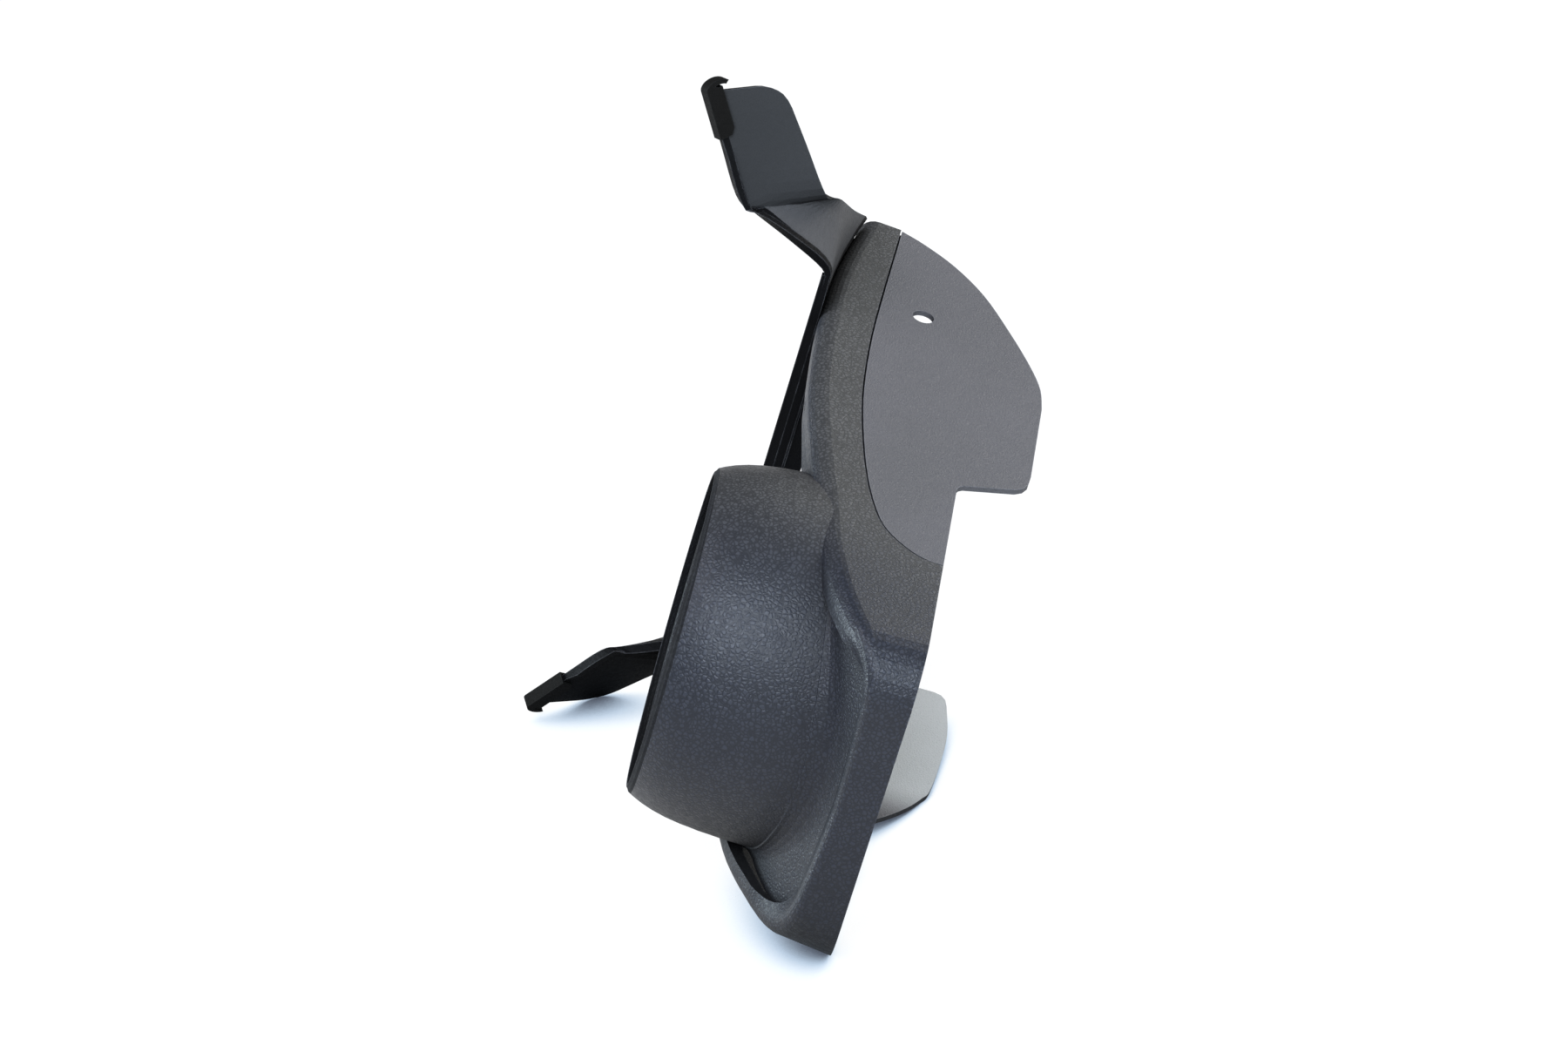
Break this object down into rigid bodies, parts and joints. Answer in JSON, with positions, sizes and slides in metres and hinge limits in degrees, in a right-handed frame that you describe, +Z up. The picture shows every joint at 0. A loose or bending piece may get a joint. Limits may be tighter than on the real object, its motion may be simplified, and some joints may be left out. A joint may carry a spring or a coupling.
{
  "type": "centre console pod housing",
  "caption": "Moulded console shell with a round pod collar, let-in cheek panels and a hooked mounting yoke, standing on its side.",
  "frame": {"origin": "on the pod's axis, halfway down the liner's bore", "axes": "+Z up as the part stands on its side, +Y from the nose towards the far end, the pod's axis points to -X and slightly up"},
  "size_m": [0.2645, 0.3505, 0.3103],
  "materials": {
    "shell_plastic": "dark grey moulded plastic with a fine leather grain",
    "liner_plastic": "black satin plastic",
    "panel_plastic": "pale grey moulding with a dark grey soft coating outside",
    "yoke_plastic": "dark grey satin plastic",
    "sleeve_rubber": "black rubber",
    "screw_steel": "plated steel"
  },
  "bodies": {
    "root": {"console_shell": "shell_plastic", "pod_liner": "liner_plastic", "side_panel_left": "panel_plastic", "side_panel_right": "panel_plastic", "mounting_yoke": "yoke_plastic", "hook_sleeve_left": "sleeve_rubber", "hook_sleeve_right": "sleeve_rubber", "yoke_screws": "screw_steel", "liner_screws": "screw_steel", "panel_screws": "screw_steel"}
  },
  "joints": []
}
